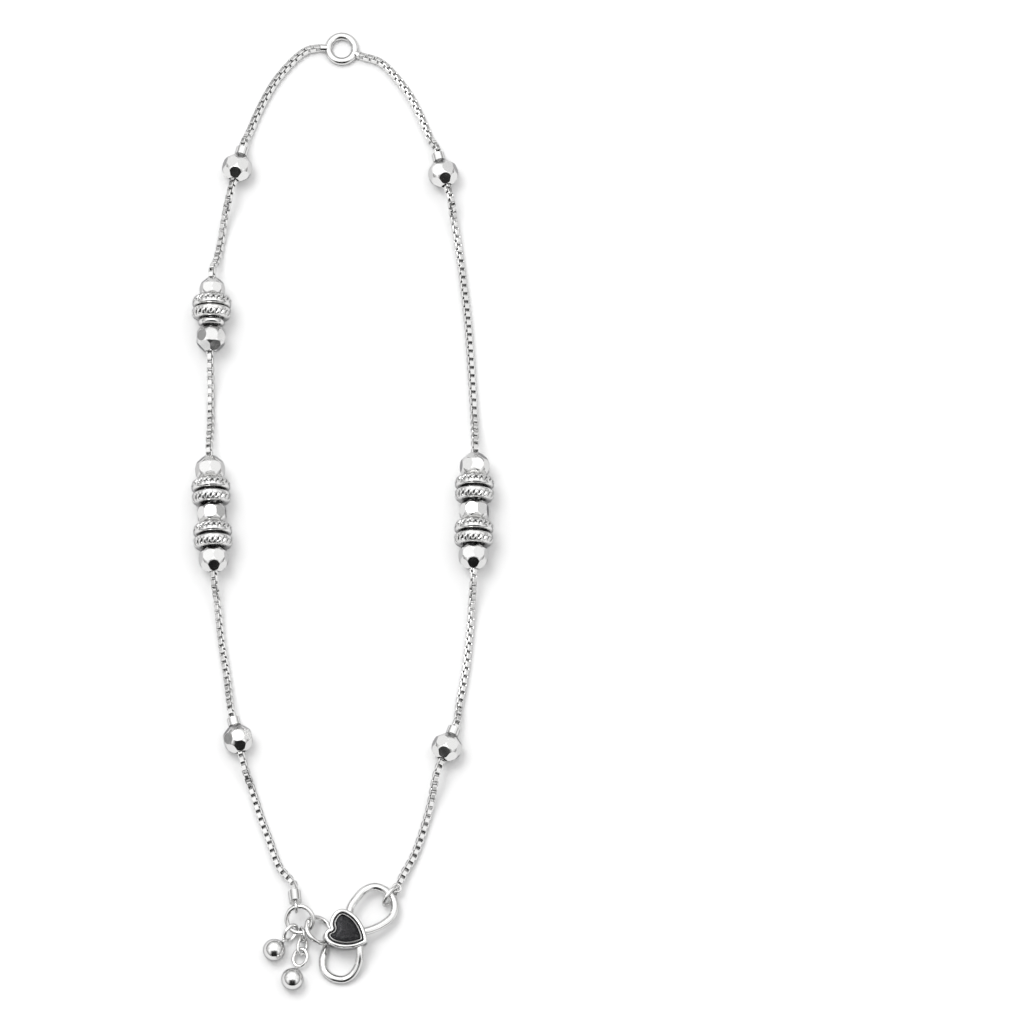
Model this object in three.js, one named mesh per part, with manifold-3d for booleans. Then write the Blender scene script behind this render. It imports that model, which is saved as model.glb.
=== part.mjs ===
// A payal anklet, laid open on a table as one closed loop. Two box chains run from a plain ring at
// the top to a heart-shaped S hook at the bottom, with faceted beads and rope-twisted rings on them.
// Millimetres, +Z up, origin on the table in the middle of the loop, the clasp towards -Y.
import * as THREE from "three";
import { mergeVertices } from "three/addons/utils/BufferGeometryUtils.js";
import Module from "manifold-3d";

const wasm = await Module();
wasm.setup();
const { cos, sin, sqrt, PI, SQRT2 } = Math;

// Fits: the gap left between pieces that touch, and the play of what is strung on a chain
const gap = 0.1;
const collarPlay = 0.15;
const borePlay = 0.29;

// Box chain: a square section, whose corners set the round space that it needs
const chainSquare = 0.82;
const chainRadius = chainSquare / SQRT2;

// Faceted beads
const beadDiameter = 4.0;
const smallBeadDiameter = 3.4;
const facetDepth = 0.08;
const beadBore = 2 * (chainRadius + borePlay);

// Crimp collars of the single beads
const collarWall = 0.1;
const collarLength = 1.1;

// Rope-twisted spacer rings, in pairs, and the plain washer of the small stack
const ropeOuter = 5.2;
const ropeWire = 1.5;
const ropeTwists = 20;
const twistDepth = 0.09;
const pairGap = 0.28;
const washerOuter = 3.5;
const washerWire = 0.8;

// Top ring, whose two necks the chains end against: a long one on the left, a short one on the right
const topRingOuter = 4.5;
const topRingWire = 1.0;
const neckDiameter = 1.1;
const leftNeckLength = 0.6;
const rightNeckLength = 0.25;
const neckGap = 0.3;

// End cap of the left chain and its eye
const capWall = 0.1;
const capLength = 1.7;
const capDepth = 0.9;
const capEyeOuter = 1.75;
const capEyeWire = 0.4;

// Jump ring, catch ring and the small rings of the drops
const ringWire = 0.62;
const jumpRingOuter = 4.14;
const catchRingOuter = 4.4;
const linkWire = 0.44;
const linkAOuter = 2.2;
const linkBLength = 2.9;
const linkBWidth = 1.9;
const dropWire = 0.48;
const dropEyeLength = 2.8;
const dropEyeWidth = 2.3;
const ballDiameter = 2.92;

// Oblong link on the right chain, and the eye that the chain ends in
const endLinkWire = 0.5;
const endLinkLength = 3.3;
const endLinkWidth = 2.4;
const chainEyeOuter = 1.42;
const chainEyeWire = 0.34;

// S hook with its heart
const hookWire = 1.05;
const hookTipWire = 0.5;
const heartLength = 5.2;
const heartUpperHalf = 3.15;
const heartLowerHalf = 2.1;
const heartThickness = 1.45;
const heartBack = 1.65;
const heartRim = 0.62;
const heartGroove = 0.2;
const pocketDepth = 0.6;
const rimRound = 0.2;
const faceRound = 0.12;

// The loop, from the top ring's outer edge to the lowest drop, and across the chains at the stacks
const loopLength = 132.4;
const loopWidth = 34.8;
const chainSteps = 50;

// Heights at which the chains run: on the table, through a single bead, through a stack
const onTable = chainRadius;
const beadOnFacet = (beadDiameter / 2) * (1 - facetDepth);
const beadTilted = beadDiameter / 2;
const stackHeight = ropeOuter / 2;

// Materials
const silver = new THREE.MeshStandardMaterial({ color: 0xe9e8e4, metalness: 1, roughness: 0.16 });
const blackened = new THREE.MeshStandardMaterial({ color: 0x3a3b3f, metalness: 1, roughness: 0.3 });

const anklet = new THREE.Group();
const vec = (x, y, z = 0) => new THREE.Vector3(x, y, z);

// Places on the loop are shares of its half width and half length, and those at the clasp are taken
// from the notch of the heart.
const onLoop = (across, lengthwise, z = 0) =>
  vec((across * loopWidth) / 2, (lengthwise * loopLength) / 2, z);
const heartAt = onLoop(-0.086, -0.8799);
const byHeart = (x, y, z) => heartAt.clone().add(vec(x, y, z));

// Solids: a closed geometry as a manifold, and a manifold or geometry as a named mesh

function welded(geometry) {
  const bare = geometry.index ? geometry.toNonIndexed() : geometry.clone();
  bare.deleteAttribute("normal");
  bare.deleteAttribute("uv");
  const merged = mergeVertices(bare, 1e-4);
  const faces = [];
  const { array } = merged.index;
  for (let i = 0; i < array.length; i += 3) {
    const [a, b, c] = [array[i], array[i + 1], array[i + 2]];
    if (a !== b && b !== c && a !== c) faces.push(a, b, c);
  }
  merged.setIndex(faces);
  return merged;
}

function solid(geometry, matrix = new THREE.Matrix4()) {
  const placed = welded(geometry).applyMatrix4(matrix);
  return new wasm.Manifold(new wasm.Mesh({
    numProp: 3,
    vertProperties: placed.attributes.position.array,
    triVerts: new Uint32Array(placed.index.array),
  }));
}

function geometryOf(body) {
  const mesh = body.getMesh();
  const geometry = new THREE.BufferGeometry();
  geometry.setAttribute("position", new THREE.BufferAttribute(mesh.vertProperties, 3));
  geometry.setIndex(new THREE.BufferAttribute(mesh.triVerts, 1));
  return geometry;
}

function add(name, geometry, material = silver) {
  const mesh = new THREE.Mesh(geometry, material);
  mesh.name = name;
  anklet.add(mesh);
  return mesh;
}

// Placing: an axis from -Y, turned by a heading in the plan and raised by a rise, both in degrees

function along({ heading = 0, rise = 0 }) {
  const [turn, lift] = [THREE.MathUtils.degToRad(heading), THREE.MathUtils.degToRad(rise)];
  return vec(sin(turn) * cos(lift), -cos(turn) * cos(lift), sin(lift));
}

function frameAt(at, axis, up = vec(0, 0, 1)) {
  const y = axis.clone().normalize();
  const x = y.clone().cross(up).normalize();
  return new THREE.Matrix4().makeBasis(x, y, x.clone().cross(y)).setPosition(at);
}

// A flat-lying shape, turned in its own plane, then tilted so that its upper face looks to one side

function leaning({ at, tilt, facing, turn = 0 }) {
  const [lean, side, spin] = [tilt, facing, turn].map(THREE.MathUtils.degToRad);
  return new THREE.Matrix4().makeRotationZ(side)
    .multiply(new THREE.Matrix4().makeRotationY(lean))
    .multiply(new THREE.Matrix4().makeRotationZ(spin - side))
    .setPosition(at);
}

// Shapes

// A wire or chain along a few chosen points, which sags no lower than the table

function tube(points, radius, steps, sides = 8) {
  const section = new THREE.Shape();
  for (let i = 0; i < sides; i++) {
    const angle = (2 * PI * i) / sides;
    const [x, y] = [radius * cos(angle), radius * sin(angle)];
    if (i === 0) section.moveTo(x, y);
    else section.lineTo(x, y);
  }
  const path = new THREE.CatmullRomCurve3(points).getSpacedPoints(steps);
  for (const point of path) point.z = Math.max(point.z, radius);
  const extrudePath = new THREE.CatmullRomCurve3(path);
  return new THREE.ExtrudeGeometry(section, { steps, extrudePath, bevelEnabled: false });
}

function ring(outer, wire, segments = 20, sides = 6) {
  return new THREE.TorusGeometry((outer - wire) / 2, wire / 2, sides, segments);
}

function ovalRing(length, width, wire, segments = 20, sides = 6) {
  const geometry = ring(width, wire, segments, sides);
  const position = geometry.attributes.position;
  const middle = (width - wire) / 2;
  const stretch = (length - width) / 2 / middle;
  for (let i = 0; i < position.count; i++) {
    const angle = Math.atan2(position.getY(i), position.getX(i));
    position.setX(i, position.getX(i) + stretch * middle * cos(angle));
  }
  return geometry;
}

function sleeve(inner, outer, from, to, segments = 10) {
  const profile = [[inner, from], [outer, from], [outer, to], [inner, to], [inner, from]];
  return new THREE.LatheGeometry(profile.map(([x, y]) => new THREE.Vector2(x, y)), segments);
}

function rod(radius, from, to, segments = 10) {
  return new THREE.CylinderGeometry(radius, radius, to - from, segments).translate(0, (from + to) / 2, 0);
}

// A bead's ball is cut by flats in eight columns, with rows at latitudes -45, 0 and 45 degrees.
// The second cut, half a step round, takes the sharp corners back to the ball's surface.

const beadColumns = 8;
const halfStep = PI / beadColumns;

function flatSidedBall(flat, latitudes, turn) {
  const corner = flat / cos(halfStep);
  const rows = latitudes.map(THREE.MathUtils.degToRad)
    .map((angle) => new THREE.Vector2((corner * cos(angle)) / cos(halfStep), corner * sin(angle)));
  const ends = [rows[0], rows[rows.length - 1]].map((row) => new THREE.Vector2(0, row.y));
  return solid(new THREE.LatheGeometry([ends[0], ...rows, ends[1]], beadColumns).rotateY(turn));
}

function facetedBead(diameter) {
  const radius = diameter / 2;
  const facets = flatSidedBall(radius * (1 - facetDepth), [-67.5, -22.5, 22.5, 67.5], halfStep);
  const corners = flatSidedBall(radius, [-90, -45, 0, 45, 90], 0);
  const bore = solid(rod(beadBore / 2, -diameter, diameter, beadColumns).rotateY(halfStep));
  return geometryOf(facets.intersect(corners).subtract(bore));
}

// A rope ring is a torus whose wire swells and narrows along grooves that lean round it.

function ropeRing() {
  const middle = (ropeOuter - ropeWire) / 2;
  const geometry = new THREE.TorusGeometry(middle, ropeWire / 2, 6, 2 * ropeTwists);
  const position = geometry.attributes.position;
  for (let i = 0; i < position.count; i++) {
    const [x, y, z] = [position.getX(i), position.getY(i), position.getZ(i)];
    const round = Math.atan2(y, x);
    const out = sqrt(x * x + y * y) - middle;
    const twist = Math.atan2(z, out);
    const swell = 1 - (twistDepth / ropeWire) * (1 - cos(ropeTwists * round));
    const turned = round + twist / ropeTwists;
    const reach = middle + out * swell;
    position.setXYZ(i, reach * cos(turned), reach * sin(turned), z * swell);
  }
  return welded(geometry).rotateX(PI / 2);
}

function heartOutline(inset) {
  const [long, upper, lower] = [heartLength, heartUpperHalf, heartLowerHalf].map((size) => size - inset);
  const notch = inset * 1.1;
  const tip = long - inset * 0.6;
  const shape = new THREE.Shape();
  shape.moveTo(notch, 0);
  shape.bezierCurveTo(-0.14 * long + inset, 0.2 * upper, -0.12 * long + inset, upper, 0.2 * long, upper);
  shape.bezierCurveTo(0.55 * long, upper, 0.88 * long, 0.5 * upper, tip, 0);
  shape.bezierCurveTo(0.9 * long, -0.42 * lower, 0.62 * long, -lower, 0.26 * long, -lower);
  shape.bezierCurveTo(-0.1 * long + inset, -lower, -0.17 * long + inset, -0.3 * lower, notch, 0);
  return shape;
}

function heartSlab(inset, bottom, top, round) {
  const options = { bevelThickness: round, bevelSize: round, bevelSegments: 2, curveSegments: 7 };
  const depth = top - bottom - 2 * round;
  return new THREE.ExtrudeGeometry(heartOutline(inset + round), { depth, ...options })
    .translate(0, 0, bottom + round);
}

// Where the strung pieces lie: the middle of each, and the way that the chain runs through it

const beadReach = (diameter) => sqrt((diameter / 2) ** 2 - (beadBore / 2) ** 2);
const toRope = (diameter) =>
  sqrt(((diameter + ropeWire) / 2 + gap) ** 2 - ((ropeOuter - ropeWire) / 2) ** 2);
const toWasher = (diameter) =>
  sqrt(((diameter + washerWire) / 2 + gap) ** 2 - ((washerOuter - washerWire) / 2) ** 2);
const ropePitch = ropeWire + pairGap;

const singles = {
  upper_left: { at: onLoop(-0.802, 0.7085, beadTilted), heading: -14, rise: 9 },
  upper_right: { at: onLoop(0.764, 0.6964, beadTilted), heading: 14.5, rise: 9 },
  lower_left: { at: onLoop(-0.787, -0.4826, beadOnFacet), heading: 13, rise: 0 },
  lower_right: { at: onLoop(0.793, -0.5008, beadTilted), heading: -19.5, rise: 8 },
};
const stacks = {
  small: { at: onLoop(-0.994, 0.4003, stackHeight), heading: -1.4 },
  left: { at: onLoop(-0.989, -0.0181, stackHeight), heading: 2.3 },
  right: { at: onLoop(1.000, -0.0121, stackHeight), heading: -0.7 },
};

// Pieces of a stack, in order down the chain, each with the distance of its middle from the first

function bigStack(name) {
  const rows = [];
  let place = 0;
  for (let bead = 1; bead <= 3; bead++) {
    rows.push({ name: `${name}_bead_${bead}`, place, geometry: facetedBead(beadDiameter) });
    if (bead === 3) break;
    place += toRope(beadDiameter);
    rows.push({ name: `${name}_rope_${2 * bead - 1}`, place, geometry: ropeRing() });
    place += ropePitch;
    rows.push({ name: `${name}_rope_${2 * bead}`, place, geometry: ropeRing() });
    place += toRope(beadDiameter);
  }
  return rows;
}

function smallStack() {
  const rope1 = toRope(smallBeadDiameter);
  const rope2 = rope1 + ropeWire + gap;
  const washer = rope2 + (ropeWire + washerWire) / 2 + gap;
  const endBead = washer + toWasher(beadDiameter);
  const plainWasher = ring(washerOuter, washerWire, 16, 7).rotateX(PI / 2);
  return [
    { name: "small_bead", place: 0, geometry: facetedBead(smallBeadDiameter) },
    { name: "small_rope_1", place: rope1, geometry: ropeRing() },
    { name: "small_rope_2", place: rope2, geometry: ropeRing() },
    { name: "small_washer", place: washer, geometry: welded(plainWasher) },
    { name: "small_end_bead", place: endBead, geometry: facetedBead(beadDiameter) },
  ];
}

function addStack(stack, rows) {
  const span = rows[rows.length - 1].place;
  stack.half = span / 2 + beadDiameter / 2;
  for (const { name, place, geometry } of rows) {
    const at = stack.at.clone().addScaledVector(along(stack), place - span / 2);
    add(name, geometry).applyMatrix4(frameAt(at, along(stack)));
  }
}

function addSingle(side, bead) {
  const inner = chainRadius + collarPlay;
  const start = beadReach(beadDiameter) + gap;
  bead.half = start + collarLength;
  const collar = sleeve(inner, inner + collarWall, -start - collarLength, -start);
  for (const [name, geometry] of [["bead", facetedBead(beadDiameter)], ["collar", welded(collar)]]) {
    add(`${name}_${side}`, geometry).applyMatrix4(frameAt(bead.at, along(bead)));
  }
}

// Points that keep a chain straight through what is strung on it, from 1 mm before to 1 mm after

const lead = 1;

function through(item) {
  const places = [-item.half - lead, -item.half / 2, item.half / 2, item.half + lead];
  return places.map((place) => item.at.clone().addScaledVector(along(item), place));
}

// Top ring

const topRingAt = onLoop(-0.009, 0.9653, topRingWire / 2);
const leftNeck = { heading: -92, end: topRingOuter / 2 + leftNeckLength };
const rightNeck = { heading: 68, end: topRingOuter / 2 + rightNeckLength };

function topRing() {
  let body = solid(ring(topRingOuter, topRingWire, 22, 8));
  for (const neck of [leftNeck, rightNeck]) {
    const reach = rod(neckDiameter / 2, (topRingOuter - topRingWire) / 2, neck.end);
    const level = frameAt(vec(0, 0, neckDiameter / 2 - topRingWire / 2), along(neck));
    body = body.add(solid(reach, level));
  }
  return geometryOf(body);
}

// Rings of the clasp end: the middle of each, its tilt, the side that it faces and its turn

const jumpRing = { at: byHeart(-4.03, 1.45, 1.98), tilt: 24.5, facing: -113 };
const catchRing = { at: byHeart(-1.5, 0.18, 1.38), tilt: 34, facing: 25 };
const drop1Eye = { at: byHeart(-5.25, -0.13, 1.24), tilt: 57, facing: -42, turn: 56 };
const drop1Ball = byHeart(-7.4, -2.55, ballDiameter / 2);
const drop2LinkA = { at: byHeart(-3.68, -0.42, 1.26), tilt: 79, facing: 190 };
const drop2LinkB = { at: byHeart(-3.7, -1.85, 0.95), tilt: 43, facing: -10, turn: 76 };
const drop2Eye = { at: byHeart(-3.98, -3.43, 0.83), tilt: -16, facing: 16, turn: 71 };
const drop2Ball = byHeart(-5, -6.55, ballDiameter / 2);
const endLink = { at: byHeart(7.9, 4.9, 1.16), tilt: 72.5, facing: -38, turn: 54 };

function addRing(name, geometry, place) {
  add(name, welded(geometry)).applyMatrix4(leaning(place));
}

// A drop is a ball with an oval eye, joined by a short neck

function addDrop(name, eye, ball) {
  const nearEnd = [-1, 1]
    .map((side) => vec((side * (dropEyeLength - dropWire)) / 2, 0, 0).applyMatrix4(leaning(eye)))
    .sort((a, b) => a.distanceTo(ball) - b.distanceTo(ball))[0];
  const neck = nearEnd.clone().sub(ball);
  const body = solid(new THREE.SphereGeometry(ballDiameter / 2, 14, 9), frameAt(ball, neck))
    .add(solid(rod(dropWire / 2, 0, neck.length(), 8), frameAt(ball, neck)))
    .add(solid(ovalRing(dropEyeLength, dropEyeWidth, dropWire, 18, 6), leaning(eye)));
  add(name, geometryOf(body));
}

// End cap of the left chain: its eye is round the jump ring, and the chain ends in its bore

const capEyeMiddle = (capEyeOuter - capEyeWire) / 2;
const capEyeAngle = THREE.MathUtils.degToRad(105);
const capEyeAt = vec(cos(capEyeAngle), sin(capEyeAngle), 0)
  .multiplyScalar((jumpRingOuter - ringWire) / 2).applyMatrix4(leaning(jumpRing));
const capAxis = vec(-0.1, 1, -0.3).normalize();

function addEndCap() {
  const bore = chainRadius + collarPlay;
  const top = capEyeMiddle + capLength;
  const body = solid(rod(bore + capWall, capEyeMiddle, top))
    .subtract(solid(rod(bore, top - capDepth, top + 1)))
    .add(solid(ring(capEyeOuter, capEyeWire, 14, 6).rotateY(PI / 2)));
  add("end_cap", geometryOf(body)).applyMatrix4(frameAt(capEyeAt, capAxis));
}

// Clasp: a wire loop above and one below, both soldered to the heart. The lower wire thins to a tip
// that passes under the catch ring and up through it to the back of the heart.

const heartTurn = THREE.MathUtils.degToRad(-21);
const heartTop = heartBack + heartThickness;
const heartPlace = new THREE.Matrix4().makeRotationZ(heartTurn).setPosition(heartAt);
const wireOnTable = hookWire / 2;
const tipOnTable = hookTipWire / 2;
const inHeart = heartBack + hookWire / 2;

const upperLoop = [
  byHeart(2.4, 1.95, inHeart), byHeart(2.7, 3.25, 2.0), byHeart(3.4, 4.35, 1.85),
  byHeart(4.4, 5.55, 1.6), byHeart(5.8, 6.15, 1.35), byHeart(7.1, 5.75, 1.22),
  byHeart(8.1, 4.85, 1.17), byHeart(8.5, 3.55, 1.17), byHeart(8.1, 2.05, 1.3),
  byHeart(6.8, 0.85, 1.6), byHeart(5.5, 0.15, 1.9), byHeart(4.1, -0.35, inHeart),
];
const lowerLoop = [
  byHeart(3.7, -1.65, inHeart), byHeart(3.9, -3.15, 1.8), byHeart(3.7, -4.45, 1.25),
  byHeart(2.9, -5.75, 0.75), byHeart(1.7, -6.35, wireOnTable), byHeart(0.2, -6.05, wireOnTable),
  byHeart(-0.8, -5.05, wireOnTable), byHeart(-1, -3.85, wireOnTable),
  byHeart(-0.8, -2.75, wireOnTable),
];
const hookTip = [
  byHeart(-0.85, -2.95, wireOnTable), byHeart(-0.55, -1.85, tipOnTable),
  byHeart(-0.5, -1.05, tipOnTable), byHeart(-0.65, -0.5, 0.6), byHeart(-0.35, -0.45, 1.3),
  byHeart(0.4, -0.65, inHeart),
];

function clasp() {
  const pocket = heartSlab(heartRim, heartTop - pocketDepth, heartTop + 1, 0);
  return geometryOf(solid(heartSlab(0, heartBack, heartTop, rimRound), heartPlace)
    .subtract(solid(pocket, heartPlace))
    .add(solid(tube(upperLoop, hookWire / 2, 26)))
    .add(solid(tube(lowerLoop, hookWire / 2, 20)))
    .add(solid(tube(hookTip, hookTipWire / 2, 12, 6))));
}

function heartFace() {
  const bottom = heartTop - pocketDepth + gap;
  return welded(heartSlab(heartRim + heartGroove, bottom, heartTop, faceRound));
}

// Chains: the few chosen points of each route, from the top ring down to the clasp

function leftRoute() {
  const ringEnd = topRingAt.clone().addScaledVector(along(leftNeck), leftNeck.end + neckGap);
  return [
    ringEnd.setZ(onTable), onLoop(-0.270, 0.9622, onTable), onLoop(-0.356, 0.9456, onTable),
    onLoop(-0.511, 0.8973, onTable), onLoop(-0.632, 0.8384, onTable), onLoop(-0.707, 0.7915, onTable),
    ...through(singles.upper_left),
    onLoop(-0.891, 0.6118, 1.5), onLoop(-0.925, 0.5589, onTable), onLoop(-0.960, 0.5136, 1.5),
    ...through(stacks.small),
    onLoop(-1.000, 0.2613, 1.4), onLoop(-1.000, 0.2160, onTable), onLoop(-1.000, 0.1707, 1.3),
    ...through(stacks.left),
    onLoop(-0.948, -0.1903, 1.4), onLoop(-0.914, -0.2719, onTable), onLoop(-0.868, -0.3535, onTable),
    ...through(singles.lower_left),
    onLoop(-0.684, -0.5801, onTable), onLoop(-0.621, -0.6344, onTable), onLoop(-0.552, -0.6858, onTable),
    byHeart(-6.7, 8.95, 0.8),
    ...[1.2, gap - capDepth].map((beyond) =>
      capEyeAt.clone().addScaledVector(capAxis, capEyeMiddle + capLength + beyond)),
  ];
}

const endLinkEnd = vec((endLinkLength - endLinkWire) / 2, 0, 0).applyMatrix4(leaning(endLink));
const chainEyeAxis = vec(0.42, 0.9, -0.1).normalize();
const chainEyeMiddle = (chainEyeOuter - chainEyeWire) / 2;

function rightRoute() {
  const ringEnd = topRingAt.clone().addScaledVector(along(rightNeck), rightNeck.end + neckGap);
  return [
    ringEnd.setZ(onTable), onLoop(0.276, 0.9381, onTable), onLoop(0.356, 0.9199, onTable),
    onLoop(0.500, 0.8701, onTable), onLoop(0.592, 0.8218, onTable), onLoop(0.661, 0.7779, onTable),
    ...through(singles.upper_right),
    onLoop(0.839, 0.6118, 1.3), onLoop(0.885, 0.5378, onTable), onLoop(0.948, 0.3988, onTable),
    onLoop(0.983, 0.2719, onTable), onLoop(1.000, 0.1888, 1.0),
    ...through(stacks.right),
    onLoop(0.983, -0.1949, 1.3), onLoop(0.966, -0.2568, onTable), onLoop(0.931, -0.3399, onTable),
    onLoop(0.885, -0.4079, 0.8),
    ...through(singles.lower_right),
    onLoop(0.672, -0.6118, 1.0), onLoop(0.626, -0.6571, onTable), onLoop(0.546, -0.7190, onTable),
    byHeart(9.7, 8.15, 0.9),
    endLinkEnd.clone().addScaledVector(chainEyeAxis, chainEyeMiddle),
  ];
}

function rightChain() {
  const eye = ring(chainEyeOuter, chainEyeWire, 12, 5);
  return solid(tube(rightRoute(), chainRadius, chainSteps))
    .add(solid(eye, frameAt(endLinkEnd, chainEyeAxis)));
}

// Assembly

add("top_ring", topRing()).position.copy(topRingAt);
for (const [side, bead] of Object.entries(singles)) addSingle(side, bead);
addStack(stacks.small, smallStack());
addStack(stacks.left, bigStack("left"));
addStack(stacks.right, bigStack("right"));
add("chain_left", welded(tube(leftRoute(), chainRadius, chainSteps)));
add("chain_right", geometryOf(rightChain()));
addEndCap();
addRing("jump_ring", ring(jumpRingOuter, ringWire, 22), jumpRing);
addRing("catch_ring", ring(catchRingOuter, ringWire, 22), catchRing);
addDrop("drop_1", drop1Eye, drop1Ball);
addRing("drop_2_link_a", ring(linkAOuter, linkWire, 16), drop2LinkA);
addRing("drop_2_link_b", ovalRing(linkBLength, linkBWidth, linkWire, 16), drop2LinkB);
addDrop("drop_2", drop2Eye, drop2Ball);
addRing("chain_end_link", ovalRing(endLinkLength, endLinkWidth, endLinkWire, 20), endLink);
add("clasp", clasp());
add("heart_face", heartFace(), blackened).applyMatrix4(heartPlace);

export default anklet;
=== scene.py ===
"""A payal anklet laid open on a white table as one closed loop.

The fine pieces here stand for the plain solids of the frame: linked box chains, faceted beads,
rope-twisted rings, round wire rings, drops, and the heart hook. Sizes are in millimetres, as in the
part's source, and every mesh is made in metres.
"""

import math

import bmesh
import bpy
import numpy as np
from mathutils import Matrix, Vector


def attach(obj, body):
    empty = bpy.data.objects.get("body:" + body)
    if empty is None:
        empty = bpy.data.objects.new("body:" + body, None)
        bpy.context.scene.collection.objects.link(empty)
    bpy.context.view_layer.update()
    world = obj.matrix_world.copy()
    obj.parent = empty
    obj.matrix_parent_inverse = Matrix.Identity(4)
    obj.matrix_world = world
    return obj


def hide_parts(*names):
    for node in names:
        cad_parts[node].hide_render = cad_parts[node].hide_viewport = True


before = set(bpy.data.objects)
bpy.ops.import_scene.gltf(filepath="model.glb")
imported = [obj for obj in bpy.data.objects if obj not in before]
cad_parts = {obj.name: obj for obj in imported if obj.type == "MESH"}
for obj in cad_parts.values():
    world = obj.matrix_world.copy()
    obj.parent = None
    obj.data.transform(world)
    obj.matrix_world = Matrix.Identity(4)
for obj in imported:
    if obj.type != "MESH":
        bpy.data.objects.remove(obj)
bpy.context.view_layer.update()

MM = 0.001
PI = math.pi

# Chain: box links, each turned a quarter from the one before, within the round space of the frame
CHAIN_RADIUS = 0.82 / math.sqrt(2)
LINK_HEIGHT = 0.95
LINK_LENGTH = 0.98
LINK_PITCH = 0.57
STRIP_WIDTH = 0.56
STRIP_THICKNESS = 0.175
STRIP_BEND = 0.17
STRIP_EDGE = 0.045
# Painted shade on the inside faces of each link
INSIDE_PAINTED_SHADE = 0.1
STEPS_PER_LINK = 6

# Roll of the links in degrees, which wanders by the sway along the chain
CHAIN_ROLL = 27
ROLL_SWAY = 7
LINKS_PER_RADIAN = 19

# Beads and collars
BEAD = 4.0
SMALL_BEAD = 3.4
FACET_DEPTH = 0.08
MIDDLE_FLATS = 8
END_FLATS = 6
END_LATITUDE = 45
BEAD_BORE = 1.26
BORE_CHAMFER = 0.07
SLEEVE_PLAY = 0.15
COLLAR_WALL = 0.1
COLLAR_LENGTH = 1.1
COLLAR_EDGE = 0.035
GAP = 0.1
BORE_PLAY = 0.29

# Rope-twisted rings and the washer; places across a rope's wire run from -1 at its bead to 1
ROPE_OUTER = 5.2
ROPE_WIRE = 1.5
ROPE_TWISTS = 20
POINTS_PER_TWIST = 14
TWIST_DEPTH = 0.3
TWIST_LEAN = 0.9
GROOVE_POWER = 0.7
ROPED_FROM = -0.66
ROPED_TO = 0.1
CREASE_AT = 0.2
CREASE_WIDTH = 0.08
CREASE_DEPTH = 0.08
BAND_ROUNDNESS = 0.6
# Painted shade in the twist's grooves, in the crease, and on the band's inside towards the pair's
# gap
GROOVE_SHADE = 2
GROOVE_SHADE_FROM = 0.4
CREASE_SHADE = 0.5
BAND_SHADE_FROM = 0.35
PAIR_GAP = 0.28
WASHER_OUTER = 3.5
WASHER_WIRE = 0.8

# Top ring
TOP_OUTER = 4.5
TOP_WIRE = 1.0
NECK = 1.1
LEFT_NECK = 0.6
RIGHT_NECK = 0.25
NECK_EDGE = 0.06
NECK_FLARE = 0.35
NECK_CUP = 0.2
CHAIN_START = 0.12

# Rings, links, drops and the end cap
RING_WIRE = 0.62
JUMP_OUTER = 4.14
CATCH_OUTER = 4.4
LINK_WIRE = 0.44
LINK_A_OUTER = 2.2
LINK_B_LENGTH = 2.9
LINK_B_WIDTH = 1.9
DROP_WIRE = 0.48
DROP_EYE_LENGTH = 2.8
DROP_EYE_WIDTH = 2.3
DROP_SINK = 0.08
DROP_FLARE = 0.9
DROP_FLARE_LENGTH = 0.16
BALL = 2.92
END_LINK_WIRE = 0.5
END_LINK_LENGTH = 3.3
END_LINK_WIDTH = 2.4
CHAIN_EYE_OUTER = 1.42
CHAIN_EYE_WIRE = 0.34
CAP_WALL = 0.1
CAP_LENGTH = 1.7
CAP_DEPTH = 0.9
CAP_EDGE = 0.03
CAP_EYE_OUTER = 1.75
CAP_EYE_WIRE = 0.4

# Heart hook
HOOK_WIRE = 1.05
HOOK_TIP_WIRE = 0.5
TAPER_START = 0.72
WIRE_STEP = 0.1
HEART_LENGTH = 5.2
HEART_UPPER = 3.15
HEART_LOWER = 2.1
HEART_BACK = 1.65
HEART_THICKNESS = 1.45
HEART_TOP = HEART_BACK + HEART_THICKNESS
HEART_POCKET = 0.6
HEART_FLOOR = HEART_TOP - HEART_POCKET
HEART_RIM = 0.44
HEART_GROOVE = 0.21
HEART_EDGE_WIDTH = 0.13

# Heights of the middle of the chain on the table, of a bead that lies on a flat, and of a stack
ON_TABLE = CHAIN_RADIUS
BEAD_ON_FACET = BEAD / 2 * (1 - FACET_DEPTH)
STACK_HEIGHT = ROPE_OUTER / 2


def vec(x, y, z=0.0):
    return np.array([x, y, z], float)


def unit(v):
    return v / np.linalg.norm(v)


# Placing: the same headings, frames and leanings as the part's source


def along(heading, rise=0.0):
    """The direction at a heading in degrees, from -Y towards +X, and a rise above the table."""
    turn, lift = math.radians(heading), math.radians(rise)
    return vec(math.sin(turn) * math.cos(lift), -math.cos(turn) * math.cos(lift), math.sin(lift))


def frame_at(at, axis, up=(0, 0, 1)):
    """A place whose local Y runs along axis."""
    y = unit(np.asarray(axis, float))
    x = unit(np.cross(y, up))
    matrix = np.eye(4)
    matrix[:3, :3] = np.column_stack([x, y, np.cross(x, y)])
    matrix[:3, 3] = at
    return matrix


def leaning(at, tilt, facing, turn=0.0):
    """A flat-lying shape turned in its plane, then tilted so that its face looks to one side."""
    side, lean, spin = math.radians(facing), math.radians(tilt), math.radians(turn - facing)
    tilted = Matrix.Rotation(side, 4, "Z") @ Matrix.Rotation(lean, 4, "Y")
    matrix = np.array(tilted @ Matrix.Rotation(spin, 4, "Z"))
    matrix[:3, 3] = at
    return matrix


def turned_about(axis, degrees):
    return np.array(Matrix.Rotation(math.radians(degrees), 4, axis))


def moved(part, matrix):
    points, faces = part
    return points @ matrix[:3, :3].T + matrix[:3, 3], faces


# Meshes: a part is an array of points and a list of faces


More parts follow.
